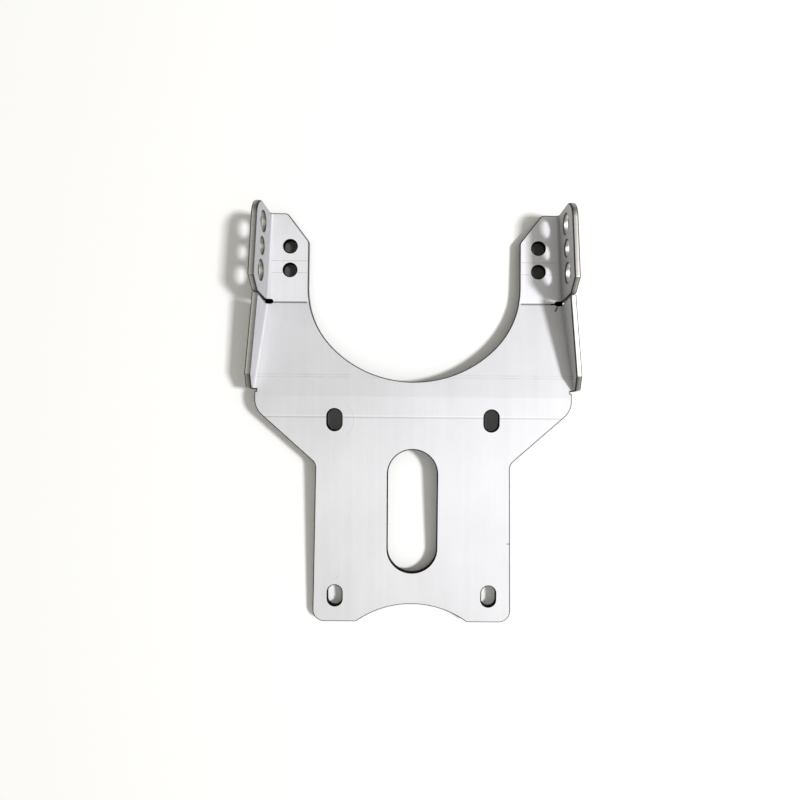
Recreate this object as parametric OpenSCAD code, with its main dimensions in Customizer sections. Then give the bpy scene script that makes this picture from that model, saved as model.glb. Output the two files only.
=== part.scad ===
// Auxiliary light bracket, laser cut and folded from one sheet of stainless steel.
//
// A mounting plate with four slots carries two arms. A shallow cross fold leans the
// arms back, a second one straightens the tabs at their ends, and the outer edges are
// turned up into flanges: a low tapered one that stiffens each arm and a tall one on
// each tab that holds a lamp.
//
// All lengths are in millimetres and all angles in degrees. The long direction is X,
// from the foot to the tabs, Y runs across, and Z points the way the flanges point.
// The origin is the middle of the four slots, on the back of the mounting plate.

/* [Sheet] */
// Thickness of the sheet
sheet_t = 3; // [2:0.5:4]
// Inside radius of the flange bends
bend_r = 1.5; // [1:0.5:3]
// Inside radius of the fold between plate and arms
fold_r = 3; // [2:0.5:6]
// Inside radius of the crease between arms and tabs
crease_r = 1; // [0.5:0.5:3]

/* [Mounting plate] */
// Distance between the upper and lower pair of slots
slot_pitch_x = 92; // [86:1:96]
// Distance between the left and right pair of slots
slot_pitch_y = 80; // [76:1:84]
// Width of a slot
slot_w = 7.2; // [6:0.2:8.8]
// Length of a slot from end to end
slot_len = 10.8; // [9:0.2:14]
// From the lower slots to the foot edge
foot_margin = 14; // [11:0.2:18]
// Width of the foot edge
foot_w = 103.6; // [98:1:108]
// Width of the plate where the shoulders begin
neck_w = 99.8; // [96:0.2:102]
// Radius of the foot corners
foot_r = 6; // [3:1:9]
// Radius of the arch in the foot edge
arch_r = 48.5; // [40:0.5:60]
// Height of the arch above the foot edge
arch_h = 9.5; // [6:0.5:11]
// Width of the long window
window_w = 25.2; // [20:0.2:30]
// Length of the long window from end to end
window_len = 64.2; // [55:0.2:70]
// How far the window sits below the middle of the slots
window_drop = 1.4; // [0:0.2:3]

/* [Shoulders] */
// From the upper slots to the start of the fold
fold_margin = 11; // [10:0.2:14]
// Width across the shoulders
shoulder_w = 161.6; // [160:0.2:162.2]
// Lean of the shoulder edges from square
shoulder_angle = 42; // [38:0.2:44]
// From the start of the fold to the shoulder corners
shoulder_drop = 5.8; // [5.4:0.2:8]
// Radius of the shoulder corners
shoulder_r = 11; // [8:1:12]
// Radius where the shoulders run into the plate
neck_r = 5; // [2:1:8]

/* [Arms] */
// Angle that the arms lean back
arm_angle = 12; // [8:1:16]
// Flat length of the arms between the two folds
arm_len = 48.8; // [46:0.2:54]
// Width of the gap between the arms
gap_w = 109.8; // [104:0.2:112]
// From the fold to the bottom of the gap
gap_floor = 7.6; // [5:0.2:12]
// Radius of the bottom of the gap
gap_floor_r = 58.4; // [57:0.2:64]
// Radius of the sides of the gap
gap_side_r = 45.6; // [42:0.2:48]

/* [Arm flanges] */
// Distance between the inner faces at the lower end
arm_flange_foot_w = 163.2; // [162:0.2:166]
// Distance between the inner faces at the upper end
arm_flange_head_w = 153.3; // [152:0.1:155]
// From the fold to the lower end
arm_flange_start = 3; // [2.6:0.1:6]
// Height at the lower end, from the face of the arm
arm_flange_foot_h = 7.2; // [6.8:0.2:10]
// Height at the upper end, from the face of the arm
arm_flange_head_h = 16.8; // [14:0.2:17]
// Radius of the lower corner
arm_flange_r = 5; // [3:0.5:5]

/* [Tabs] */
// Angle that the tabs turn forward again
tab_angle = 6; // [3:1:6]
// Length of the tabs from the crease
tab_len = 46.8; // [44:0.2:50]
// Length cut off the inner corner, along the tab
tab_cut_x = 14.9; // [8:0.1:16]
// Width cut off the inner corner, across the tab
tab_cut_y = 11.4; // [6:0.2:12]
// Radius of the two corners of that cut
tab_r = 3; // [1:0.5:4]
// Diameter of the two holes in each tab
tab_hole_d = 6.6; // [5:0.2:9]
// Distance between the holes of one tab
tab_hole_pitch = 12.4; // [11:0.2:14]
// From the crease to the lower hole
tab_hole_start = 16.9; // [14:0.1:18]
// Distance across the bracket between the holes of both tabs
tab_hole_w = 129.4; // [126:0.2:132]

/* [Lamp flanges] */
// Distance between the inner faces at the crease
lamp_flange_foot_w = 153.8; // [152:0.1:155]
// Distance between the inner faces at the top
lamp_flange_head_w = 150.2; // [149:0.2:154]
// Height from the face of the tab
lamp_flange_h = 24.8; // [23:0.2:30]
// Radius of the upper corner
lamp_flange_r = 9; // [4:0.5:10]
// Length cut off the lower corner, along the flange
lamp_cut_x = 6.2; // [3:0.1:7]
// Height cut off the lower corner
lamp_cut_h = 8.6; // [7:0.2:10]
// Diameter of the middle hole
lamp_hole_d = 8.2; // [6:0.2:9]
// Diameter of the outer two holes
side_hole_d = 9.8; // [8:0.2:10.4]
// Distance from the middle hole to each outer hole
lamp_hole_pitch = 12.3; // [11.8:0.1:13]
// From the crease to the middle hole
lamp_hole_x = 25.7; // [24:0.1:27]
// Height of the holes above the face of the tab
lamp_hole_h = 12.6; // [12:0.2:14]

/* [Reliefs] */
// Width of the slit between the two flanges, at its root
relief_w = 1.3; // [1:0.1:1.6]
// How much of that width lies on the arm's side of the crease
relief_arm = 0.3; // [0.2:0.1:0.5]
// Distance between the round ends of the slits, from centre to centre
relief_span = 148.8; // [147.8:0.2:149.4]
// How much the slit opens upwards, to stay clear once the tab is folded
relief_lean = 1; // [0.8:0.1:1.6]
// Width of the nick below each arm flange
nick_w = 0.8; // [0.5:0.1:1.5]
// Depth of that nick from the side of the shoulder
nick_depth = 1.2; // [0.8:0.1:1.5]

/* [Hidden] */

// Holes are drawn as true circles, and outlines with a corner every arc_step degrees.
$fn = 96;
arc_step = 1.5;
// Spare length for cutting tools and for pieces that are trimmed to length
spare = 10;
// Width of the flat strip that ties a flange into its panel
strip_w = 4;

plate_foot = -slot_pitch_x / 2 - foot_margin;
plate_head = slot_pitch_x / 2 + fold_margin;
gap_side_x = gap_floor + gap_floor_r
    - sqrt(pow(gap_floor_r - gap_side_r, 2) - pow(gap_w / 2 - gap_side_r, 2));
gap_blend = atan2(gap_w / 2 - gap_side_r, gap_floor + gap_floor_r - gap_side_x);

// Outlines

function unit(v) = v / norm(v);

// Points of an arc round c, at whole steps between the angles a0 and a1
function arc(c, r, a0, a1) =
    let (n = max(1, ceil(abs(a1 - a0) / arc_step)))
    [for (i = [0:n]) c + r * [cos(a0 + (a1 - a0) * i / n), sin(a0 + (a1 - a0) * i / n)]];

// The corner p between its neighbours a and b, rounded to the radius r.
// The centre lies on the bisector, and the arc starts and ends where it meets the sides.
function corner(a, p, b, r) =
    let (
        u = unit(a - p),
        v = unit(b - p),
        half = acos(u * v) / 2,
        c = p + unit(u + v) * r / sin(half),
        s = p + u * r / tan(half) - c,
        e = p + v * r / tan(half) - c,
        a0 = atan2(s.y, s.x),
        turn = atan2(s.x * e.y - s.y * e.x, s * e)
    )
    r == 0 ? [p] : arc(c, r, a0, a0 + turn);

// A closed outline from corners written as [x, y, radius]
function rounded(c) =
    let (n = len(c))
    [for (i = [0:n - 1])
        let (a = c[(i + n - 1) % n], p = c[i], b = c[(i + 1) % n])
        each corner([a.x, a.y], [p.x, p.y], [b.x, b.y], p.z)];

// Half the width of the gap at the distance x from the fold
function gap_half(x) =
    x >= gap_side_x ? gap_w / 2
    : gap_w / 2 - gap_side_r + sqrt(pow(gap_side_r, 2) - pow(gap_side_x - x, 2));

// The gap between the arms, drawn along the flattened arm and tab.
// A wide arc makes its floor, and a tighter one on each side runs into the straight.
module gap_outline() {
    c = gap_w / 2 - gap_side_r;
    top = arm_len + tab_len + spare;
    polygon(concat(
        [[top, -gap_w / 2]],
        arc([gap_side_x, -c], gap_side_r, 270, 180 + gap_blend),
        arc([gap_floor + gap_floor_r, 0], gap_floor_r, 180 + gap_blend, 180 - gap_blend),
        arc([gap_side_x, c], gap_side_r, 180 - gap_blend, 90),
        [[top, gap_w / 2]]
    ));
}

// A slot of the length l and width w, centred, along X
module slot_outline(l, w) {
    square([l - w, w], center = true);
    for (s = [-1, 1]) translate([s * (l - w) / 2, 0]) circle(d = w);
}

module plate_outline() {
    side = shoulder_w / 2;
    neck_x = plate_head - shoulder_drop - (side - neck_w / 2) * tan(shoulder_angle);
    difference() {
        polygon(rounded([
            [plate_foot, foot_w / 2, foot_r],
            [plate_foot, -foot_w / 2, foot_r],
            [neck_x, -neck_w / 2, neck_r],
            [plate_head - shoulder_drop, -side, shoulder_r],
            [plate_head, -side, 0],
            [plate_head, side, 0],
            [plate_head - shoulder_drop, side, shoulder_r],
            [neck_x, neck_w / 2, neck_r]
        ]));
        translate([plate_foot + arch_h - arch_r, 0]) circle(r = arch_r, $fn = 240);
        translate([-window_drop, 0]) slot_outline(window_len, window_w);
        for (x = [-1, 1], y = [-1, 1])
            translate([x * slot_pitch_x / 2, y * slot_pitch_y / 2])
                slot_outline(slot_len, slot_w);
    }
}

// One arm on the side of +Y, up to the flat strip of its flange
module arm_outline() {
    side = shoulder_w / 2;
    root = side - nick_depth;
    end = arm_len - relief_arm;
    inset = bend_r + 0.6;
    polygon([
        [0, -1],
        [0, side],
        [arm_flange_start - nick_w, side],
        [arm_flange_start - nick_w, root],
        [arm_flange_start + 0.2, root],
        [end, arm_flange_line(end) - inset],
        [end, relief_span / 2],
        [arm_len, relief_span / 2],
        [arm_len, -1]
    ]);
}

// One tab on the side of +Y, up to the flat strip of its flange
module tab_outline() {
    foot = relief_w - relief_arm;
    inset = bend_r + 0.6;
    polygon(rounded([
        [0, gap_w / 2 - spare, 0],
        [0, relief_span / 2, 0],
        [foot, relief_span / 2, 0],
        [foot, lamp_flange_line(foot) - inset, 0],
        [tab_len, lamp_flange_line(tab_len) - inset, 0],
        [tab_len, gap_w / 2 + tab_cut_y, tab_r],
        [tab_len - tab_cut_x, gap_w / 2, tab_r],
        [tab_len - tab_cut_x - spare, gap_w / 2, 0],
        [tab_len - tab_cut_x - spare, gap_w / 2 - spare, 0]
    ]));
}

// Half the distance between the inner faces of the arm flanges, x from the fold
function arm_flange_line(x) =
    (arm_flange_foot_w + (arm_flange_head_w - arm_flange_foot_w)
        * (x - arm_flange_start) / (arm_len - arm_flange_start)) / 2;

// Half the distance between the inner faces of the lamp flanges, x from the crease
function lamp_flange_line(x) =
    (lamp_flange_foot_w + (lamp_flange_head_w - lamp_flange_foot_w) * x / tab_len) / 2;

// Pieces of sheet. In every frame below the panel lies flat, with its back at z = 0 and
// its face at z = sheet_t.

module panel() {
    linear_extrude(sheet_t) children();
}

module both_sides() {
    for (s = [0, 1]) mirror([0, s, 0]) children();
}

// The frame of a panel that is folded back by the angle a, on an axis r behind the sheet
module folded_back(x, r, a) {
    translate([x, 0, -r]) rotate([0, a, 0]) translate([0, 0, r]) children();
}

// The frame of a panel that is folded forward by the angle a, on an axis r before the sheet
module folded_forward(x, r, a) {
    translate([x, 0, sheet_t + r]) rotate([0, -a, 0]) translate([0, 0, -sheet_t - r])
        children();
}

// The curved sheet of a fold from y0 to y1: a length of tube round the fold's axis,
// kept between the end of one panel and the start of the next. d is 1 where the next
// panel is folded back and -1 where it is folded forward. The origin is on the axis.
module fold_sheet(r, a, d, y0, y1) {
    size = 3 * (r + sheet_t);
    intersection() {
        translate([0, y1, 0]) rotate([90, 0, 0]) difference() {
            cylinder(r = r + sheet_t, h = y1 - y0);
            translate([0, 0, -1]) cylinder(r = r, h = y1 - y0 + 2);
        }
        translate([0, y0 - 1, d > 0 ? 0 : -size]) cube([size, y1 - y0 + 2, size]);
        rotate([0, d * a, 0])
            translate([-size, y0 - 1, d > 0 ? 0 : -size]) cube([size, y1 - y0 + 2, size]);
    }
}

// A flange turned up square along the line from [x0, y0] to [x1, y1], which is where
// its inner face would meet the face of the panel. The child is its outline, drawn with
// x along that line from its start and y as the height above the panel's face. A strip
// of flat sheet, the bend and the flange are trimmed together between x0 and x1.
module flange(x0, y0, x1, y1) {
    length = norm([x1 - x0, y1 - y0]);
    intersection() {
        translate([x0, y0, 0]) rotate([0, 0, atan2(y1 - y0, x1 - x0)]) {
            translate([-spare / 2, -bend_r - strip_w, 0])
                cube([length + spare, strip_w, sheet_t]);
            translate([-spare / 2, -bend_r, sheet_t + bend_r]) rotate([0, 90, 0])
                rotate_extrude(angle = 90)
                    translate([bend_r, 0]) square([sheet_t, length + spare]);
            translate([0, sheet_t, sheet_t]) rotate([90, 0, 0])
                linear_extrude(sheet_t) intersection() {
                    children();
                    translate([-spare, bend_r]) square([length + 2 * spare, 100]);
                }
        }
        translate([x0, 0, -1]) cube([x1 - x0, 200, 200]);
    }
}

// Parts of the bracket, each in its own frame

module arm() {
    x0 = arm_flange_start;
    x1 = arm_len - relief_arm;
    length = x1 - x0;
    difference() {
        both_sides() panel() arm_outline();
        translate([0, 0, -1]) linear_extrude(sheet_t + 2) gap_outline();
    }
    both_sides() flange(x0, arm_flange_line(x0), x1, arm_flange_line(x1))
        polygon(rounded([
            [0, 0, 0],
            [0, arm_flange_foot_h, arm_flange_r],
            [length + spare, arm_flange_head_h
                + (arm_flange_head_h - arm_flange_foot_h) * spare / length, 0],
            [length + spare, 0, 0]
        ]));
}

module lamp_flange_outline() {
    x0 = relief_w - relief_arm;
    length = tab_len - x0;
    difference() {
        polygon(rounded([
            [0, 0, 0],
            [relief_lean, lamp_flange_h - lamp_cut_h, 0],
            [relief_lean + lamp_cut_x, lamp_flange_h, 1],
            [length, lamp_flange_h, lamp_flange_r],
            [length, 0, 0]
        ]));
        translate([lamp_hole_x - x0, lamp_hole_h]) circle(d = lamp_hole_d);
        for (s = [-1, 1]) translate([lamp_hole_x - x0 + s * lamp_hole_pitch, lamp_hole_h])
            circle(d = side_hole_d);
    }
}

module tab() {
    x0 = relief_w - relief_arm;
    difference() {
        panel() tab_outline();
        translate([-arm_len, 0, -1]) linear_extrude(sheet_t + 2) gap_outline();
        for (i = [0, 1])
            translate([tab_hole_start + i * tab_hole_pitch, tab_hole_w / 2, -1])
                cylinder(d = tab_hole_d, h = sheet_t + 2);
    }
    flange(x0, lamp_flange_line(x0), tab_len, lamp_flange_line(tab_len))
        lamp_flange_outline();
}

// The round end of the slit between the flanges, square to the crease
module relief_end() {
    folded_forward(arm_len, crease_r, tab_angle / 2)
        translate([relief_w / 2 - relief_arm, relief_span / 2, -1])
            cylinder(d = relief_w, h = sheet_t + 2, $fn = 32);
}

module bracket() {
    color("#c9cacb") {
        panel() plate_outline();
        translate([plate_head, 0, -fold_r])
            fold_sheet(fold_r, arm_angle, 1, -shoulder_w / 2, shoulder_w / 2);
        folded_back(plate_head, fold_r, arm_angle) {
            arm();
            both_sides() difference() {
                union() {
                    translate([arm_len, 0, sheet_t + crease_r])
                        fold_sheet(crease_r, tab_angle, -1, gap_half(arm_len), relief_span / 2);
                    folded_forward(arm_len, crease_r, tab_angle) tab();
                }
                relief_end();
            }
        }
    }
}

bracket();
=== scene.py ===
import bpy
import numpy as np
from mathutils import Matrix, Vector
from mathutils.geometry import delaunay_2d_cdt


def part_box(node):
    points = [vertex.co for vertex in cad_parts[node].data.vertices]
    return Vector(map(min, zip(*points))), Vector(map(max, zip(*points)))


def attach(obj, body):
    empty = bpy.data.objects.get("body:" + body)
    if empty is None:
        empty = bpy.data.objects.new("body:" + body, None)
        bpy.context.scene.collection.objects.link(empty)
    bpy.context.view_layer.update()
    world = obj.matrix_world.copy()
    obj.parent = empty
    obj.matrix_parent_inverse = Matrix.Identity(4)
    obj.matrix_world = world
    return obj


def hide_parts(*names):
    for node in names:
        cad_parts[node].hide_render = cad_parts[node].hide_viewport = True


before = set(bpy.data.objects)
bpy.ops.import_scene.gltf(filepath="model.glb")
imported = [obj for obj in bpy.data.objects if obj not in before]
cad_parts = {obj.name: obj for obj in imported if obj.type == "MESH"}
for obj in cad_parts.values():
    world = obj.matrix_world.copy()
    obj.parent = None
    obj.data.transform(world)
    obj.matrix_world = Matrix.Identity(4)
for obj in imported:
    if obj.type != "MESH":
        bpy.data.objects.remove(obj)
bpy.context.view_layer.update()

# %% [markdown]
# # A folded bracket of brushed stainless steel
#
# The construction gives the solid. This scene gives the same bracket its looks: the
# deburred edges of a laser-cut sheet, the grain of the brushing, the marks of the press
# brake, a white floor and studio light from the right.
#
# The whole bracket is one sheet, so one idea carries the scene. Everything is drawn on
# the flat blank, where a bend is only a band between two lines, and one function folds
# the blank into the bracket. The same flat coordinates then carry the finish, just as
# the real sheet was brushed before it was folded.

low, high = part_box("bracket")
print("solid, in mm:", [round(1000 * (h - l), 1) for l, h in zip(low, high)])

# Sizes in millimetres and degrees, as in the construction
T = 3.0                                         # sheet
R_FLANGE, R_FOLD, R_CREASE = 1.5, 3.0, 1.0      # inner radii of the bends
FOOT, HEAD = -60.0, 57.0                        # flat part of the mounting plate
ARM, TAB = 48.8, 46.8                           # flat lengths of arm and tab
ARM_ANGLE, TAB_ANGLE = 12.0, 6.0                # of the wide fold and of the crease
FOOT_HALF, WAIST, SHOULDER = 51.8, 49.9, 80.8   # half widths of the plate
GAP = 109.8                                     # between the arms
ARM_FLANGE, LAMP_FLANGE = 16.8, 24.8            # heights over the face of the panel
EDGE = 0.65                                     # radius left on every edge by deburring

# Lengths of the bends along the middle of the sheet
L_FOLD = (R_FOLD + T / 2) * np.radians(ARM_ANGLE)
L_CREASE = (R_CREASE + T / 2) * np.radians(TAB_ANGLE)
L_FLANGE = (R_FLANGE + T / 2) * np.pi / 2

# Places along the blank
ARM_0 = HEAD + L_FOLD                           # where the arm starts
TAB_0 = ARM_0 + ARM + L_CREASE                  # where the tab starts
NICK_0, NICK_1 = ARM_0 + 2.2, ARM_0 + 3.0       # the nick at the foot of an arm flange
SLIT_0, SLIT_1 = ARM_0 + 48.5, TAB_0 + 1.0      # the relief slit between two flanges

# Bend lines of the flanges: start and end of the line where the inner face meets the
# panel's face, as [distance along the blank, half width]
ARM_LINE = np.array([[NICK_1, 81.6], [SLIT_0, 76.683]])
TAB_LINE = np.array([[SLIT_1, 76.862], [TAB_0 + TAB, 75.1]])
print("blank length:", round(TAB_0 + TAB - FOOT, 2))

# %% [markdown]
# ## Folding the blank
#
# A press brake turns the sheet round an axis beside each bend line. A point of the sheet
# is given by its place on the blank and its depth z, from 0 at the back to 3 at the
# face. Inside the band of a bend the point moves on a circle round the axis, and its
# depth sets the radius. Past the band it lies on the next flat piece.
#
# The flanges are folded first, then the crease, then the wide fold, which is the order
# on the machine too: the short outer bends would be out of reach later.

# %% One bend
def turn(x, z, start, length, radius, angle, way):
    """Fold the strip (x, z) at x = start. way is 1 for a fold to the back and -1 for one
    to the front. In the band the point is on a circle of the radius plus its depth, at
    an angle that grows evenly; after it, the flat part goes on at the full angle."""
    z = z if way > 0 else T - z
    a = np.clip((x - start) / length, 0, 1) * np.radians(angle)
    past = np.maximum(x - start - length, 0)
    rho = radius + z
    xf = np.minimum(x, start) + rho * np.sin(a) + past * np.cos(a)
    zf = -radius + rho * np.cos(a) - past * np.sin(a)
    return xf, (zf if way > 0 else T - zf)


def line_axes(line):
    """Unit vectors along a bend line and square to it, away from the panel."""
    d = (line[1] - line[0]) / np.linalg.norm(line[1] - line[0])
    return d, np.array([-d[1], d[0]])


def flange(p, line):
    """Turn up what lies outside a bend line. Measured along the line (u) and square to it
    (v), the band starts one bend radius inside the line."""
    d, n = line_axes(line)
    side = np.where(p[:, 1] < 0, -1.0, 1.0)
    q = np.stack([p[:, 0], p[:, 1] * side], 1) - line[0]
    u, v = q @ d, q @ n
    v, z = turn(v, p[:, 2], -R_FLANGE, L_FLANGE, R_FLANGE, 90, -1)
    flat = line[0] + u[:, None] * d + v[:, None] * n
    return np.stack([flat[:, 0], flat[:, 1] * side, z], 1)


# %% The whole fold
def fold(p):
    """Points of the blank, one per row as (x, y, z) in mm, folded into the bracket. A
    flange is what lies outside a half width just short of its bend. The arm's starts in
    the nick, and the tab's in the slit."""
    arm_half, tab_half = 74.5, 74.0
    # the free end of an arm flange leans over the limit in the slit, so the last
    # millimetre of its upper corner follows the tab's line and is up to 1.3 mm off
    in_nick, in_slit = ARM_0 + 2.6, TAB_0 + 0.2
    x, y = p[:, 0], np.abs(p[:, 1])
    on_arm = (y > arm_half) & (x > in_nick) & (x < in_slit)
    on_tab = (y > tab_half) & (x >= in_slit)
    out = np.where(on_arm[:, None], flange(p, ARM_LINE), p)
    out = np.where(on_tab[:, None], flange(p, TAB_LINE), out)
    x, z = out[:, 0], out[:, 2]
    # the crease first: what lies past it is carried along by the fold
    x, z = turn(x, z, ARM_0 + ARM, L_CREASE, R_CREASE, TAB_ANGLE, -1)
    x, z = turn(x, z, HEAD, L_FOLD, R_FOLD, ARM_ANGLE, 1)
    return np.stack([x, out[:, 1], z], 1)


def fold_with_normals(p, n, small=1e-3):
    """Fold points with their normals. The blank's three directions are followed through
    the fold with a small step each, and the normal keeps its parts along them."""
    axes = []
    for step in np.eye(3) * small:
        d = fold(p + step) - fold(p - step)
        axes.append(d / np.linalg.norm(d, axis=1, keepdims=True))
    m = sum(n[:, k:k + 1] * axes[k] for k in range(3))
    return fold(p), m / np.linalg.norm(m, axis=1, keepdims=True)


tip = fold(np.array([[TAB_0 + TAB, 0.0, 0.0]]))[0]
print("tab tip, back:", tip.round(2))

# %% [markdown]
# ## The outlines on the blank
#
# The laser cuts closed loops: one round the blank, and one for each hole. Corners are
# written as a point and a radius, and the long arcs of the gap and the arch are sampled.
# The loops are then resampled, because a straight cut that crosses a bend becomes a
# curve and needs its own points there.

# %% Arcs and corners
def arc(c, r, a0, a1, step=2.0):
    """Points on a circle round c, from the angle a0 to a1 in degrees."""
    a = np.radians(np.linspace(a0, a1, int(abs(a1 - a0) / step) + 2))
    return np.stack([c[0] + r * np.cos(a), c[1] + r * np.sin(a)], 1)


def rounded(corners, step=6.0):
    """A closed loop from rows of [x, y, radius]. The arc of a corner touches both sides
    at the distance r / tan(half the angle) from it."""
    c = np.array(corners, float)
    out = []
    for before, p, after in zip(np.roll(c, 1, 0), c, np.roll(c, -1, 0)):
        if p[2] == 0:
            out.append(p[None, :2])
            continue
        u = (before - p)[:2] / np.linalg.norm((before - p)[:2])
        v = (after - p)[:2] / np.linalg.norm((after - p)[:2])
        half = np.arccos(u @ v) / 2
        m = p[:2] + (u + v) / np.linalg.norm(u + v) * p[2] / np.sin(half)
        s, e = p[:2] + u * p[2] / np.tan(half) - m, p[:2] + v * p[2] / np.tan(half) - m
        a0 = np.degrees(np.arctan2(s[1], s[0]))
        sweep = np.degrees(np.arctan2(s[0] * e[1] - s[1] * e[0], s @ e))
        out.append(arc(m, p[2], a0, a0 + sweep, step))
    return np.vstack(out)


def resample(loop, spacing=0.6):
    """The closed loop with extra points on every side longer than the spacing."""
    out = []
    for a, b in zip(loop, np.roll(loop, -1, 0)):
        n = max(1, int(np.ceil(np.linalg.norm(b - a) / spacing)))
        out.append(a + (b - a) * np.arange(n)[:, None] / n)
    return np.vstack(out)


# %% The outline of the blank
def on_flange(line, x, h):
    """The place on the blank of a flange point, x along its bend line and h above the
    face of the panel. The bend takes one radius of width and one of height, and uses up
    its own length for them."""
    d, n = line_axes(line)
    return line[0] + x * d + (h - 2 * R_FLANGE + L_FLANGE) * n


def gap_side():
    """The half of the gap's outline on the side of +y, from its floor to the tab: a wide
    arc over the floor that runs smoothly into a tighter one at the side."""
    floor_x, floor_r, side_r = 7.6, 58.4, 45.6
    c = GAP / 2 - side_r
    side_x = floor_x + floor_r - np.sqrt((floor_r - side_r) ** 2 - c ** 2)
    blend = np.degrees(np.arctan2(c, floor_x + floor_r - side_x))
    pts = np.vstack([arc((floor_x + floor_r, 0), floor_r, 180, 180 - blend, 1.0),
                     arc((side_x, c), side_r, 180 - blend, 90, 1.0)[1:]])
    pts[:, 0] += ARM_0 + np.where(pts[:, 0] > ARM, L_CREASE, 0)
    return pts


def half_outline():
    """Corners of the blank on the side of +y as rows of [x, y, radius], from the middle
    of the arch round the outside to the middle of the gap."""
    arch_depth, arch_r, arch_end = 9.5, 48.5, 36.53
    shoulder_x, waist_slope = HEAD - 5.8, np.tan(np.radians(42))
    nick_y, slit_y, root_y = SHOULDER - 1.0, 75.0, 74.4
    arm_end = np.linalg.norm(ARM_LINE[1] - ARM_LINE[0]) - 0.16
    lamp_end = np.linalg.norm(TAB_LINE[1] - TAB_LINE[0]) - 0.06
    arm = lambda x, h: on_flange(ARM_LINE, x, h)
    lamp = lambda x, h: on_flange(TAB_LINE, x, h)
    sharp = lambda a: np.column_stack([a, np.zeros(len(a))])

    arch = arc((FOOT + arch_depth - arch_r, 0), arch_r, 0, arch_end, 1.5)
    plate_and_arm = [
        [FOOT, arch[-1, 1] + 0.02, 0.7],        # end of the arch
        [FOOT, FOOT_HALF, 6],
        [shoulder_x - (SHOULDER - WAIST) * waist_slope, WAIST, 5],
        [shoulder_x, SHOULDER, 11],
        [NICK_0, SHOULDER, 0.7],
        [NICK_0, nick_y, 0],
        [NICK_1, nick_y, 0],
        [*arm(0, 2.4), 0.9],                    # chamfer of the arm flange
        [*arm(6.3, 8.5), 1.5],
        [*arm(arm_end, ARM_FLANGE), 0.8],
        [*arm(arm_end, R_FLANGE), 0],
        [SLIT_0, slit_y, 0]]
    root = arc(((SLIT_0 + SLIT_1) / 2, root_y), (SLIT_1 - SLIT_0) / 2, 180, 360, 12.0)
    tab = [
        [SLIT_1, slit_y, 0],
        [*lamp(0, R_FLANGE), 0],
        [*lamp(1.0, 16.2), 1.0],                # chamfer of the lamp flange
        [*lamp(7.2, LAMP_FLANGE), 1.0],
        [*lamp(lamp_end, LAMP_FLANGE), 9],
        [*lamp(lamp_end, R_FLANGE), 0],
        [TAB_0 + TAB, 72.0, 0],                 # tab tip
        [TAB_0 + TAB, GAP / 2 + 11.4, 3],
        [TAB_0 + TAB - 14.9, GAP / 2, 3]]
    gap = gap_side()[::-1]
    return np.vstack([sharp(arch[:-1]), plate_and_arm, sharp(root), tab, sharp(gap)])


def blank_outline():
    """The whole loop, with the sheet on its left: the half with +y from the gap back to
    the arch, then its mirror image the other way round."""
    half = half_outline()[::-1]
    mirror = half[::-1] * [1, -1, 1]
    return rounded(np.vstack([half, mirror[1:-1]]))


outline = resample(blank_outline())
print("outline:", len(outline), "points")

# %% The holes
def slot(x, y, length, width):
    """A slot along x, as a loop."""
    r, d = width / 2, (length - width) / 2
    return np.vstack([arc((x + d, y), r, -90, 90, 5.0), arc((x - d, y), r, 90, 270, 5.0)])


def circle(c, r):
    """A round hole, as a loop."""
    return arc(c, r, 0, 355, 5.0)


holes = [slot(x, y, 10.8, 7.2) for x in (46, -46) for y in (40, -40)]
holes.append(slot(-1.4, 0, 64.2, 25.2))
holes += [circle((TAB_0 + x, y), 3.3) for x in (16.9, 29.3) for y in (64.7, -64.7)]
flat_holes = len(holes)
for side in (1, -1):
    for x, r in ((12.4, 4.9), (24.7, 4.1), (37.0, 4.9)):
        holes.append(circle(on_flange(TAB_LINE, x, 12.6) * [1, side], r))
holes = [resample(h) for h in holes]
print("holes:", len(holes), "with", sum(map(len, holes)), "points")

# %% [markdown]
# ## Sheet and edges
#
# A cut edge is a profile carried along its loop: in from the edge on the face, round the
# deburred corner, down the wall and round the other corner. The two faces fill what the
# profiles leave free. Their triangles also follow the bend bands, with rows of points
# close enough for a smooth bend.

# %% Edge strips
def outward(loop):
    """At each point of a loop, the direction away from the sheet, as it is and stretched
    at a corner so that both sides are offset by the same amount. The sheet is on the
    left."""
    d = np.roll(loop, -1, 0) - loop
    d /= np.linalg.norm(d, axis=1, keepdims=True)
    n = np.stack([d[:, 1], -d[:, 0]], 1)
    m = n + np.roll(n, 1, 0)
    unit = m / np.linalg.norm(m, axis=1, keepdims=True)
    return unit, unit / np.maximum((unit * n).sum(1, keepdims=True), 0.4)


def edge_profile(steps=6):
    """Rows of (distance in from the cut, depth z, outward part and z part of the normal),
    from the face to the back: a quarter circle, the wall, a quarter circle."""
    a = np.linspace(0, np.pi / 2, steps + 1)
    s, c = np.sin(a), np.cos(a)
    top = np.stack([EDGE * (1 - s), T - EDGE * (1 - c), s, c], 1)
    bottom = top[::-1] * [1, -1, 1, -1] + [0, T, 0, 0]
    return np.vstack([top, bottom])


def strip(loop, profile):
    """The profile carried along the loop: one row of points for each profile row."""
    unit, mitre = outward(loop)
    rows, cols = len(profile), len(loop)
    p = np.empty((rows, cols, 3))
    n = np.empty((rows, cols, 3))
    p[:, :, :2] = loop[None] - profile[:, None, :1] * mitre[None]
    p[:, :, 2] = profile[:, None, 1]
    n[:, :, :2] = profile[:, None, 2:3] * unit[None]
    n[:, :, 2] = profile[:, None, 3]
    i = np.arange(rows - 1)[:, None] * cols
    j = np.arange(cols)[None]
    k = (j + 1) % cols
    quads = np.stack([i + j, i + cols + j, i + cols + k, i + k], -1).reshape(-1, 4)
    return p.reshape(-1, 3), n.reshape(-1, 3), quads


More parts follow.
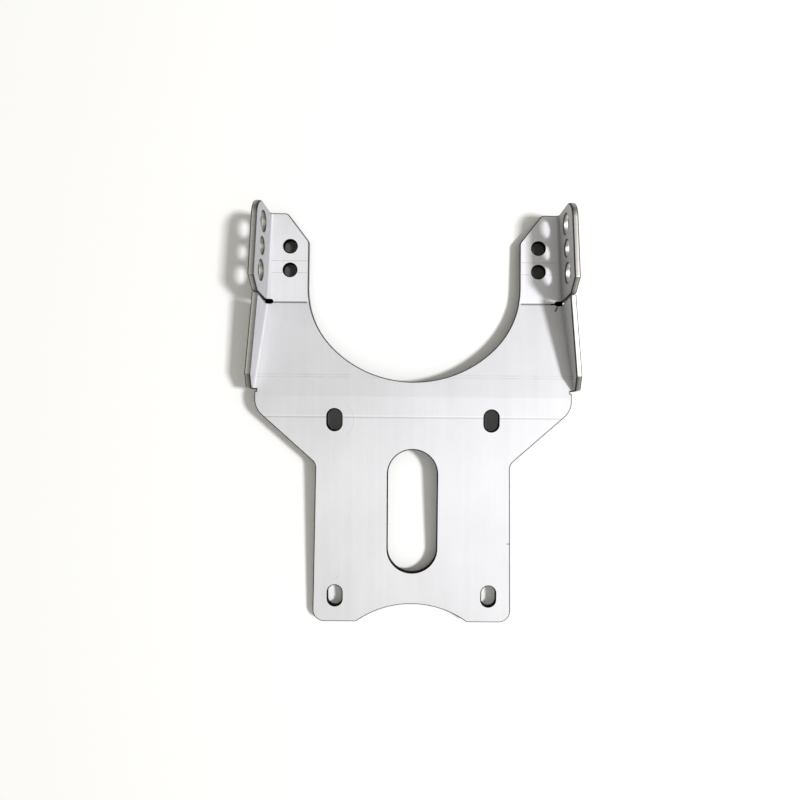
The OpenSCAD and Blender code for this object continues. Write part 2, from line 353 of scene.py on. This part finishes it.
# %% Rows along the bends
def bend_rows():
    """Rows of points across every bend band, each as an open line on the blank. They end
    just inside the loops."""
    row = lambda x, y: np.stack([np.full(len(y), x), y], 1)
    across_fold, across_crease = np.linspace(-79.6, 79.6, 160), np.linspace(54.9, 72.9, 19)
    rows = [row(HEAD + t * L_FOLD, across_fold) for t in np.linspace(0, 1, 5)]
    for s in (1, -1):
        rows += [row(ARM_0 + ARM + t * L_CREASE, across_crease * s) for t in (0.0, 0.5, 1.0)]
        for line, start, end in ((ARM_LINE, 1.1, 44.6), (TAB_LINE, 0.9, 45.0)):
            along_line = np.linspace(start, end, 46)[:, None] * line_axes(line)[0]
            for t in np.linspace(0, 1, 13):
                p = on_flange(line, 0, R_FLANGE - (1 - t) * L_FLANGE)
                rows.append((p + along_line) * [1, s])
    return rows


# %% Faces
def inside(q, loops):
    """True for points of q in the sheet. A line from each point towards +y crosses the
    loops an odd number of times if the point is between the outline and the holes."""
    crossings = np.zeros(len(q), int)
    for loop in loops:
        a, b = loop, np.roll(loop, -1, 0)
        x = q[:, :1]
        spans = (a[None, :, 0] > x) != (b[None, :, 0] > x)
        t = (x - a[None, :, 0]) / np.where(b[:, 0] == a[:, 0], 1, b[:, 0] - a[:, 0])[None]
        above = a[None, :, 1] + t * (b - a)[None, :, 1] > q[:, 1:]
        crossings += (spans & above).sum(1)
    return crossings % 2 == 1


def settle(v, f, keep, slivers, passes=6):
    """Decide again for triangles without area, because their middle lies on a loop. Each
    goes with the triangle beyond its longest edge. That can be a sliver too, so a few
    passes are made."""
    edges = np.sort(f[:, [[0, 1], [1, 2], [2, 0]]], 2)
    key = edges[..., 0] * len(v) + edges[..., 1]
    length = np.linalg.norm(v[edges[..., 0]] - v[edges[..., 1]], axis=2)
    for _ in range(passes):
        for s in slivers:
            beyond = np.flatnonzero((key == key[s, length[s].argmax()]).any(1))
            keep[s] = keep[beyond[beyond != s]].any()
    return keep


def fill(loops, rows, merge=1e-6, no_area=1e-4):
    """Triangles between the loops, kept to the rows of points: a constrained Delaunay
    triangulation of all the points, of which the triangles in the sheet are kept."""
    pts, edges, n = [], [], 0
    for loop, closed in [(l, True) for l in loops] + [(r, False) for r in rows]:
        i = np.arange(len(loop)) + n
        pairs = np.stack([i, np.roll(i, -1)], 1)
        edges.append(pairs if closed else pairs[:-1])
        pts.append(loop)
        n += len(loop)
    pts, edges = np.vstack(pts).tolist(), np.vstack(edges).tolist()
    v, _, f, *_ = delaunay_2d_cdt(pts, edges, [], 0, merge, False)
    v, f = np.array([tuple(q) for q in v]), np.array([tuple(t) for t in f])
    a, b, c = v[f[:, 0]], v[f[:, 1]], v[f[:, 2]]
    cross = (b - a)[:, 0] * (c - a)[:, 1] - (b - a)[:, 1] * (c - a)[:, 0]
    f[cross < 0] = f[cross < 0][:, ::-1]
    keep = inside(v[f].mean(1), loops)
    return v, f[settle(v, f, keep, np.flatnonzero(abs(cross) < no_area))]


loops = [outline] + [h[::-1] for h in holes]
inner = [l - EDGE * outward(l)[1] for l in loops]
face_pts, face_tris = fill(inner, bend_rows())
print("face:", len(face_pts), "points,", len(face_tris), "triangles")

# %% [markdown]
# Each relief slit, half as wide as the sheet is thick, is black at its root, in shade. A
# thin closed tube low in the slit, painted black, stands for that shade and hides the
# floor. It is folded along with the sheet.

# %% Painted shade in the slits
def slit_shade_film(side, columns=9):
    """A film of painted black shade in a relief slit: a closed tube, flat and one
    millimetre high, carried along y from the root of the slit into the bend, and a little
    into both walls."""
    y = np.linspace(74.0, 77.2, columns)
    x0, x1, z0, z1 = SLIT_0 - 0.2, SLIT_1 + 0.2, 0.25, 1.25
    slant = 0.7                 # a corner's normal points halfway between its two sides
    ring = np.array([[x0, z0, -1, -1], [x1, z0, 1, -1], [x1, z1, 1, 1], [x0, z1, -1, 1]])
    p = np.empty((4, columns, 3))
    p[:, :, 0], p[:, :, 1], p[:, :, 2] = ring[:, :1], y * side, ring[:, 1:2]
    n = np.zeros((4, columns, 3))
    n[:, :, 0], n[:, :, 2] = ring[:, 2:3] * slant, ring[:, 3:4] * slant
    i, j = np.arange(4)[:, None] * columns, np.arange(columns - 1)[None]
    k = (i + columns) % (4 * columns)
    quads = np.stack([i + j, k + j, k + j + 1, i + j + 1], -1).reshape(-1, 4)
    ends = np.array([[3, 2, 1, 0], [0, 1, 2, 3]]) * columns + [[0], [columns - 1]]
    return p.reshape(-1, 3), n.reshape(-1, 3), np.vstack([quads, ends])[:, ::-side]


# %% The bracket's skin
def by_slit(p):
    """True for the points round a relief slit, from its root up to the flanges."""
    x, y = p[:, 0], np.abs(p[:, 1])
    return (x > SLIT_0 - 0.9) & (x < SLIT_1 + 1.2) & (y > 73.2) & (y < 79.2)


# How much painted shade darkens a wall: 1.2 paints a slit black, 1 paints the bores of the
# flat holes dark, 0 leaves a clean cut as it is, and less than 0 paints light into the
# bores of the flange holes, which the light floods
SLIT_SHADE, BORE_SHADE, CLEAN, BORE_LIGHT = 1.2, 1.0, 0.0, -0.5

parts = []
for z, way in ((T, 1), (0.0, -1)):
    p = np.column_stack([face_pts, np.full(len(face_pts), z)])
    n = np.tile([0.0, 0.0, float(way)], (len(p), 1))
    parts.append((p, n, face_tris[:, ::way], np.full(len(p), CLEAN)))
# the walls carry painted shade, black round the relief slits and dark in the flat holes, and
# painted light in the flange holes
for i, loop in enumerate(loops):
    p, n, q = strip(loop, edge_profile())
    wall = CLEAN if i == 0 else BORE_SHADE if i <= flat_holes else BORE_LIGHT
    parts.append((p, n, q, np.where(by_slit(p) & (i == 0), SLIT_SHADE, wall)))
for side in (1, -1):
    p, n, q = slit_shade_film(side)
    parts.append((p, n, q, np.full(len(p), SLIT_SHADE)))

firsts = np.cumsum([0] + [len(part[0]) for part in parts])
tris = np.vstack([part[2] + first for part, first in zip(parts[:2], firsts)])
quads = np.vstack([part[2] + first for part, first in zip(parts[2:], firsts[2:])])
blank, blank_normals = [np.vstack([part[k] for part in parts]) for k in (0, 1)]
painted_wall_shade_and_light = np.concatenate([part[3] for part in parts])
placed, placed_normals = fold_with_normals(blank, blank_normals)
print("skin, in mm:", placed.min(0).round(2), placed.max(0).round(2))

# %% [markdown]
# The arrays go into one mesh. Its UV map "blank" is the place on the flat sheet, in
# metres. Three numbers at each point tell the material about the edges: "cut" is 0 on the
# faces and 1 on a wall, the next is the painted shade of a wall, which makes the slits
# black and the bores of the flat holes dark and paints light into the bores of the flange
# holes, and "depth" runs from 0 at the back to 1 at the face. The normals come from the
# fold, so that the faces stay flat right up to the round edges.

# %% The mesh
def attribute(name, values):
    """Store one number for each point of the mesh."""
    a = mesh.attributes.new(name, "FLOAT", "POINT")
    a.data.foreach_set("value", values.astype(np.float32))


mesh = bpy.data.meshes.new("folded_sheet")
corner = np.concatenate([tris.ravel(), quads.ravel()])
mesh.vertices.add(len(placed))
mesh.vertices.foreach_set("co", (placed / 1000).astype(np.float32).ravel())
mesh.loops.add(len(corner))
mesh.loops.foreach_set("vertex_index", corner.astype(np.int32))
mesh.polygons.add(len(tris) + len(quads))
starts = np.concatenate([np.arange(len(tris)) * 3, len(tris) * 3 + np.arange(len(quads)) * 4])
mesh.polygons.foreach_set("loop_start", starts.astype(np.int32))
mesh.update(calc_edges=True)
flat = mesh.uv_layers.new(name="blank")
flat.data.foreach_set("uv", (blank[corner, :2] / 1000).astype(np.float32).ravel())
attribute("cut", 1 - np.abs(blank_normals[:, 2]))
attribute("painted_wall_shade_and_light", painted_wall_shade_and_light)
attribute("depth", blank[:, 2] / T)
mesh.polygons.foreach_set("use_smooth", np.ones(len(mesh.polygons), bool))
mesh.normals_split_custom_set_from_vertices(placed_normals.astype(np.float32))
mesh.validate()
skin = bpy.data.objects.new("folded_sheet", mesh)
bpy.context.scene.collection.objects.link(skin)
print("faces:", len(mesh.polygons), "solid:", (1000 * np.array([low, high])).round(2).tolist())

# %% [markdown]
# ## The steel
#
# Brushed stainless steel is a metal with fine lines along the sheet. The lines change
# the roughness a little and tilt the surface across them. They are drawn with noise in
# the blank's own coordinates, stretched along x, so that they run up the plate and over
# the bends without a break.
#
# On a real sheet the lines also spread the light of a lamp at the side into a broad
# sheen. A high roughness gives the same even, bright face. The cut edges are smoother
# and a little browner, so they are bright only where they mirror the lamp.

# %% Node helpers
class Tree:
    """Short ways to add nodes to one material."""

    def __init__(self, tree):
        self.tree = tree
        tree.nodes.clear()

    def add(self, kind, *sources, **settings):
        """A node with its settings, its first inputs set to values or linked to sockets.
        Returns the node."""
        n = self.tree.nodes.new(kind)
        for key, value in settings.items():
            setattr(n, key, value)
        for i, v in enumerate(sources):
            self.put(n.inputs[i], v)
        return n

    def put(self, socket, v):
        """Link a socket to another one, or give it a value."""
        if isinstance(v, bpy.types.NodeSocket):
            self.tree.links.new(v, socket)
        else:
            socket.default_value = v

    def math(self, op, *values, clamp=False):
        """One step of arithmetic."""
        return self.add("ShaderNodeMath", *values, operation=op, use_clamp=clamp).outputs[0]

    def total(self, start, *pairs):
        """The start plus each value times its weight."""
        for value, weight in pairs:
            start = self.math("MULTIPLY_ADD", value, weight, start)
        return start

    def mix(self, factor, a, b):
        """A blend of two colours."""
        n = self.add("ShaderNodeMix", data_type="RGBA")
        for i, v in ((0, factor), (6, a), (7, b)):
            self.put(n.inputs[i], v)
        return n.outputs[2]

    def ramp(self, x, x0, x1, y0, y1, kind="SMOOTHSTEP"):
        """y0 at x0 and y1 at x1, and level beyond them."""
        n = self.add("ShaderNodeMapRange", x, x0, x1, y0, y1, interpolation_type=kind)
        return n.outputs[0]

    def noise(self, vector, scale, detail=2.0, rough=0.5):
        """Noise from 0 to 1 over a vector stretched by three scales."""
        v = self.add("ShaderNodeVectorMath", vector, scale, operation="MULTIPLY").outputs[0]
        n = self.add("ShaderNodeTexNoise", v, noise_dimensions="3D")
        n.inputs["Scale"].default_value = 1.0
        n.inputs["Detail"].default_value = detail
        n.inputs["Roughness"].default_value = rough
        return n.outputs["Fac"]

    def band(self, x, centre, half, soft):
        """1 within half of the centre, falling to 0 over the soft width."""
        d = self.math("ABSOLUTE", self.math("SUBTRACT", x, centre))
        return self.ramp(d, half + soft, half, 0.0, 1.0)


# %% [markdown]
# The press leaves its marks across the sheet. One shoulder of the die draws a light line
# and a dark one below the wide fold, the other a faint double line above it. The punch
# leaves a dark groove along the crease, and two thin lines cross each tab where it lay
# against the stops.

# %% Marks of the press
def press_marks(t, uv, x, half):
    """Masks of the groove and of the dark line, and how much all the marks darken the
    sheet. Each mark is a band in x, and those of a tab are kept to its half widths."""
    groove = t.band(x, (TAB_0 - L_CREASE / 2) / 1000, 0.0003, 0.0004)
    groove = t.math("MULTIPLY", groove, t.band(half, 0.065, 0.0093, 0.0004))
    light = t.band(x, (HEAD - 9.0) / 1000, 0.0001, 0.0005)
    dark = t.band(x, (HEAD - 9.7) / 1000, 0.0001, 0.0005)

    patchy = t.math("MULTIPLY_ADD", t.noise(uv, (40.0, 130.0, 1.0)), 3.0, -0.9, clamp=True)
    double = t.math("ADD", t.band(x, (ARM_0 + 9.6) / 1000, 0.0001, 0.0004),
                    t.band(x, (ARM_0 + 10.9) / 1000, 0.0001, 0.0004))
    double = t.math("MULTIPLY", double, patchy)
    stops = t.math("ADD", t.band(x, (TAB_0 + 21.7) / 1000, 0.00003, 0.00025),
                   t.band(x, (TAB_0 + 15.4) / 1000, 0.00003, 0.00025))
    stops = t.math("MULTIPLY", stops, t.math("MULTIPLY_ADD", patchy, 0.5, 0.5))
    stops = t.math("MULTIPLY", stops, t.band(half, 0.065, 0.0090, 0.0006))
    shade = t.total(0.0, (groove, 0.5), (dark, 0.14), (light, -0.06), (double, 0.08),
                    (stops, 0.24))
    return groove, dark, shade


# %% [markdown]
# A used bracket has scratches too. A washer drew an arc beside one slot, the edges have
# small nicks, and the corner at one relief is torn. They are placed one by one, because
# the photograph shows where each of them is.

# %% Scratches
def scratches(t, x, y):
    """Small marks, each a band in one coordinate kept to a stretch of the other."""
    washer_x, washer_y, washer_r = 0.046, 0.040, 0.0098
    dx, dy = t.math("SUBTRACT", x, washer_x), t.math("SUBTRACT", y, washer_y)
    ring = t.math("SQRT", t.math("ADD", t.math("POWER", dx, 2.0), t.math("POWER", dy, 2.0)))
    ring = t.math("MULTIPLY", t.band(ring, washer_r, 0.00002, 0.0002),
                  t.band(y, 0.0305, 0.0015, 0.002))
    total = t.math("MULTIPLY", ring, 0.25)
    # in mm: middle of each mark, half size along x and y, slant of y over x, and strength
    marks = ((-36.2, 38.6, 0.8, 0.08, -0.9, 0.3), (-34.0, 51.5, 0.3, 0.5, 0.0, 0.6),
             (-18.0, -49.6, 0.3, 0.5, 0.0, 0.6), (104.3, -74.0, 1.2, 0.3, -0.48, 1.3),
             (106.87, -72.4, 0.25, 1.2, 0.0, 1.0), (100.6, -83.0, 0.9, 0.05, 0.9, 0.4),
             (98.4, -83.3, 1.3, 0.05, -0.7, 0.4))
    for cx, cy, hx, hy, slant, strength in marks:
        level = t.math("SUBTRACT", y, (cy - slant * cx) / 1000)
        across = t.math("MULTIPLY_ADD", x, -slant, level)
        mark = t.math("MULTIPLY", t.band(x, cx / 1000, hx / 1000, 0.0003),
                      t.band(across, 0.0, hy / 1000, 0.00025))
        total = t.math("MULTIPLY_ADD", mark, strength, total)
    return total


# %% [markdown]
# The tone of the faces is a number from 0 to 1 that is put together step by step. Painted
# light makes the plate and the tabs paler than the arms, and painted shade makes the
# flanges darker than their panels. The walls have their own tone: the laser leaves fine
# stripes across them, a pale band near the back and a darker one near the face, and the
# rounded rims carry painted shade.

# %% Colours
def face_colour(t, x, half, noises, shade):
    """Tone with painted light on the plate and the tabs, noises, less the shade of the
    marks, and less painted shade on the flanges.
    """
    grain, streak, cloud = noises
    on_tab = t.math("GREATER_THAN", x, TAB_0 / 1000)
    # painted light: the plate and the tabs are paler than the arms
    painted_light_tone = t.math("MULTIPLY_ADD", on_tab, 0.075, t.ramp(x, 0.010, 0.065, 0.880, 0.81))
    tone = t.total(painted_light_tone, (streak, 0.06), (cloud, 0.14), (grain, 0.10), (shade, -1.0))
    tone = t.math("SUBTRACT", tone, 0.15)       # the noises' means
    # painted shade: the tone of the flanges is cut by 0.29 on the tabs and 0.09 on the arms
    bend_at = t.ramp(x, NICK_1 / 1000, SLIT_0 / 1000, 0.0816, 0.0767, "LINEAR")
    painted_flange_shade = t.ramp(t.math("SUBTRACT", half, bend_at), -0.0025, 0.0, 0.0, 1.0, "LINEAR")
    painted_flange_shade = t.math("MULTIPLY", painted_flange_shade, t.math("MULTIPLY_ADD", on_tab, 0.20, 0.09))
    tone = t.math("MULTIPLY", tone, t.math("SUBTRACT", 1.0, painted_flange_shade))
    blue = t.math("MULTIPLY", tone, 1.026)
    return t.add("ShaderNodeCombineColor", tone, tone, blue).outputs[0]


def wall_colour(t, cut, painted_wall_shade_and_light, depth, stripes):
    """Stripes and two bands along the wall, darkened by its painted shade and by painted
    shade at the rounded rim; where the painted shade is below 0 it paints light.
    """
    pale, dark = t.band(depth, 0.28, 0.06, 0.12), t.band(depth, 0.72, 0.08, 0.12)
    painted_rim_shade = t.band(cut, 0.48, 0.46, 0.03)
    tone = t.total(0.38, (stripes, 0.20), (pale, 0.16), (dark, -0.10))
    painted_light_and_shade_factor = t.math("MAXIMUM", t.math("MULTIPLY_ADD", painted_wall_shade_and_light, -0.92, 1.0), 0.0)
    tone = t.math("MULTIPLY", tone, painted_light_and_shade_factor)
    # painted shade on the rounded rims, which mirror the dark walls of the room
    tone = t.math("MULTIPLY", tone, t.math("MULTIPLY_ADD", painted_rim_shade, -0.80, 1.0))
    green, blue = t.math("MULTIPLY", tone, 0.97), t.math("MULTIPLY", tone, 0.92)
    return t.add("ShaderNodeCombineColor", tone, green, blue).outputs[0]


# %% The material
def steel():
    """A metal all over. The faces and the walls differ in colour and roughness, and the
    grain and the grooves are a bump in metres."""
    m = bpy.data.materials.new("brushed_steel")
    m.use_nodes = True
    t = Tree(m.node_tree)
    out = t.add("ShaderNodeOutputMaterial")
    bsdf = t.add("ShaderNodeBsdfPrincipled")
    uv = t.add("ShaderNodeUVMap", uv_map="blank").outputs[0]
    xyz = t.add("ShaderNodeSeparateXYZ", uv)
    x, y = xyz.outputs[0], xyz.outputs[1]
    half = t.math("ABSOLUTE", y)
    cut, painted_wall_shade_and_light, depth = [t.add("ShaderNodeAttribute", attribute_name=name).outputs["Fac"]
                          for name in ("cut", "painted_wall_shade_and_light", "depth")]
    face = t.math("SUBTRACT", 1.0, t.math("MULTIPLY", cut, 40.0, clamp=True))

    grain = t.noise(uv, (90.0, 5200.0, 1.0), 3.0, 0.6)
    streak = t.noise(uv, (7.0, 260.0, 1.0), 3.0, 0.55)
    cloud = t.noise(uv, (26.0, 34.0, 1.0), 3.0, 0.5)
    stripes = t.noise(uv, (2600.0, 2600.0, 1.0), 2.0)
    groove, dark, shade = press_marks(t, uv, x, half)
    shade = t.math("MULTIPLY_ADD", scratches(t, x, y), 0.5, shade)

    faces = face_colour(t, x, half, (grain, streak, cloud), shade)
    walls = wall_colour(t, cut, painted_wall_shade_and_light, depth, stripes)
    t.put(bsdf.inputs["Base Color"], t.mix(face, walls, faces))

    mixed = t.add("ShaderNodeMix", data_type="FLOAT")
    rough = t.total(0.68, (grain, 0.08), (cloud, 0.06))
    rough_wall = t.total(0.42, (stripes, 0.12))
    for i, v in ((0, face), (2, rough_wall), (3, rough)):
        t.put(mixed.inputs[i], v)
    t.put(bsdf.inputs["Roughness"], mixed.outputs[0])
    t.put(bsdf.inputs["Metallic"], 1.0)
    # steel mirrors less at a grazing angle than the shader's metal does
    t.put(bsdf.inputs["Specular Tint"], (0.45, 0.45, 0.44, 1))

    bump = t.add("ShaderNodeBump")
    bump.inputs["Strength"].default_value = 0.6
    bump.inputs["Distance"].default_value = 1.0
    height = t.total(0.0, (grain, 0.000004), (groove, -0.00010), (dark, -0.00002))
    t.put(bump.inputs["Height"], height)
    t.put(bsdf.inputs["Normal"], bump.outputs[0])
    t.put(out.inputs[0], bsdf.outputs[0])
    print("steel:", len(m.node_tree.nodes), "nodes")
    return m


skin.data.materials.append(steel())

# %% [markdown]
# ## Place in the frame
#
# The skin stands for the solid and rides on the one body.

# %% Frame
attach(skin, "root")
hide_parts("bracket")

# %% [markdown]
# ## Floor, camera and light
#
# The bracket lies on its foot edge and its tab tips, so the floor leans by about four
# degrees in this frame. The shadows of a bracket that touched the white would be thinner
# than those in the photograph. They fit a white that is three millimetres lower, as
# under a clear plate, so the floor is put there and the plate is left out.
#
# Right under the tab holes and the upper slots the white is nearly black. That shade is
# deeper than the light of this scene gives, so soft spots of painted shade on the floor
# stand for it.

# %% Floor
lean = np.arctan2(-tip[2], tip[0] - FOOT)
s, c = np.sin(lean), np.cos(lean)
# directions of the floor: along the bracket, across it, and up
along, across, up = np.array([c, 0, -s]), np.array([0, 1.0, 0]), np.array([s, 0, c])
rest = np.array([FOOT, 0, 0]) / 1000 - up * 0.003


def painted_shade_spots(t):
    """1 on the spots of painted shade and 0 away from them: each is a line along x, one on
    either side, with the distance from it as the measure."""
    xyz = t.add("ShaderNodeSeparateXYZ", t.add("ShaderNodeTexCoord").outputs["Object"])
    x, y = xyz.outputs[0], t.math("ABSOLUTE", xyz.outputs[1])
    dark = 0.0
    # start and end of the line, its half width, the radius of the spot, and its strength
    for x0, x1, y0, r, full in ((0.122, 0.136, 0.0662, 0.0042, 1.0),
                                (0.0435, 0.0475, 0.0415, 0.0050, 0.75)):
        dx = t.math("ABSOLUTE", t.math("SUBTRACT", x, (x0 + x1) / 2))
        dx = t.math("MAXIMUM", t.math("SUBTRACT", dx, (x1 - x0) / 2), 0.0)
        dy = t.math("SUBTRACT", y, y0)
        d = t.math("SQRT", t.math("ADD", t.math("MULTIPLY", dx, dx), t.math("MULTIPLY", dy, dy)))
        dark = t.math("MAXIMUM", dark, t.math("MULTIPLY", t.band(d, 0.0, r, 0.004), full))
    return dark


def floor(half=3.0):
    """A white square, of half a side in metres, with spots of painted shade under the tab
    holes and the upper slots. It is white to the eye and in the metal, and grey to light
    that the floor itself sends back, so that it doesn't fill the shadows."""
    corners = ((-1, -1), (1, -1), (1, 1), (-1, 1))
    p = [tuple(rest + a * half * along + b * half * across) for a, b in corners]
    m = bpy.data.meshes.new("floor")
    m.from_pydata(p, [], [(0, 1, 2, 3)])
    o = bpy.data.objects.new("floor", m)
    bpy.context.scene.collection.objects.link(o)
    mat = bpy.data.materials.new("floor_white")
    mat.use_nodes = True
    t = Tree(mat.node_tree)
    b = t.add("ShaderNodeBsdfPrincipled")
    t.put(t.add("ShaderNodeOutputMaterial").inputs[0], b.outputs[0])
    # painted shade: the spots darken the white floor under the tab holes and upper slots
    white = t.mix(painted_shade_spots(t), (0.99, 0.99, 0.985, 1), (0.09, 0.09, 0.088, 1))
    bounced = t.math("MINIMUM", t.add("ShaderNodeLightPath").outputs["Diffuse Depth"], 1.0)
    t.put(b.inputs["Base Color"], t.mix(bounced, white, (0.5, 0.5, 0.49, 1)))
    b.inputs["Roughness"].default_value = 0.9
    o.data.materials.append(mat)


floor()
print("floor leans by", round(float(np.degrees(lean)), 2), "degrees")

# %% [markdown]
# The camera looks square onto the floor. Its place and lens were fitted to about sixty
# points of the outline. The fit works in pixels, with the picture's rows and columns as
# its axes, so the last step turns its axes into those of the frame.

# %% Camera
def camera():
    """The camera of the photograph, from the fit."""
    width, mm_per_pixel = 800, 0.516
    # from the fit: lens length and centre of view in pixels, turns in degrees, and place
    lens, u0, v0 = 561.522, 414.249, 397.940
    ax, ay, az = np.radians([4.0834, 0.1509, -0.5096])
    place, origin = np.array([2.165, 125.754, lens]), [-7.62, 0, T]
    rx = np.array([[1, 0, 0], [0, np.cos(ax), -np.sin(ax)], [0, np.sin(ax), np.cos(ax)]])
    ry = np.array([[np.cos(ay), 0, np.sin(ay)], [0, 1, 0], [-np.sin(ay), 0, np.cos(ay)]])
    rz = np.array([[np.cos(az), -np.sin(az), 0], [np.sin(az), np.cos(az), 0], [0, 0, 1]])
    r = rz @ rx @ ry
    # picture right is -Y, picture up is +X, and towards the camera is +Z
    axes = np.array([[0, 1, 0], [-1, 0, 0], [0, 0, 1.0]])
    centre = mm_per_pixel * axes @ (r.T @ place) + origin
    m = np.eye(4)
    m[:3, :3] = axes @ r.T
    m[:3, 3] = centre / 1000
    data = bpy.data.cameras.new("camera")
    data.sensor_width = 36
    data.sensor_fit = "HORIZONTAL"
    data.lens = 36 * lens / width
    data.shift_x = (width / 2 - u0) / width
    data.shift_y = (v0 - width / 2) / width
    data.clip_start, data.clip_end = 0.01, 20
    o = bpy.data.objects.new("camera", data)
    o.matrix_world = Matrix(m.tolist())
    bpy.context.scene.collection.objects.link(o)
    bpy.context.scene.camera = o
    print("camera at", centre.round(1), "mm, lens", round(data.lens, 2))


camera()

# %% [markdown]
# One lamp to the right of the bracket casts the shadows. It is small and far enough away
# that they are soft only at the tall flanges. The room fills them: its light is a little
# warm, so the shadows are too, and the lamp is a little cool to keep the steel neutral.

# %% Lamp
def lamp(name, direction, distance, size, power, colour):
    """A square area light in a direction given along, across and above the floor, aimed
    at the middle of the bracket. Distance and size are in metres, power is in watts."""
    d = np.array(direction, float)
    d /= np.linalg.norm(d)
    z = d[0] * along + d[1] * across + d[2] * up
    x = np.cross([1.0, 0, 0], z)
    x /= np.linalg.norm(x)
    m = np.eye(4)
    m[:3, 0], m[:3, 1], m[:3, 2] = x, np.cross(z, x), z
    m[:3, 3] = np.array([0.04, 0, 0]) + z * distance
    data = bpy.data.lights.new(name, "AREA")
    data.shape = "RECTANGLE"
    data.size, data.size_y = size, size
    data.energy = power
    data.color = colour
    o = bpy.data.objects.new(name, data)
    o.matrix_world = Matrix(m.tolist())
    bpy.context.scene.collection.objects.link(o)
    print(name, "lamp at", m[:3, 3].round(2), "m")


lamp("key", (-0.03, -0.655, 0.94), 2.6, 0.33, 52.0, (0.985, 0.99, 1.02))

# %% Room
def studio():
    """A dark room with a pale ceiling. The brightness grows from a height of 0.42 to one
    of 0.96 on the unit sphere, so that faces are bright and the rounded edges, which
    mirror the walls, are dark."""
    world = bpy.data.worlds.new("studio")
    bpy.context.scene.world = world
    world.use_nodes = True
    t = Tree(world.node_tree)
    out = t.add("ShaderNodeOutputWorld")
    view = t.add("ShaderNodeTexCoord").outputs["Generated"]
    part = lambda v: t.add("ShaderNodeVectorMath", view, tuple(v),
                           operation="DOT_PRODUCT").outputs["Value"]
    walls, ceiling = (0.13, 0.125, 0.105, 1), (0.75, 0.737, 0.685, 1)
    colour = t.mix(t.ramp(part(up), 0.42, 0.96, 0.0, 1.0), walls, ceiling)
    # more light from the side of the lamp and from beyond the foot, less from opposite
    side = part(-0.45 * across - 0.32 * along)
    room = t.add("ShaderNodeBackground", colour, t.math("ADD", side, 1.0))
    t.put(out.inputs[0], room.outputs[0])
    bpy.context.scene.view_settings.view_transform = "Standard"


studio()
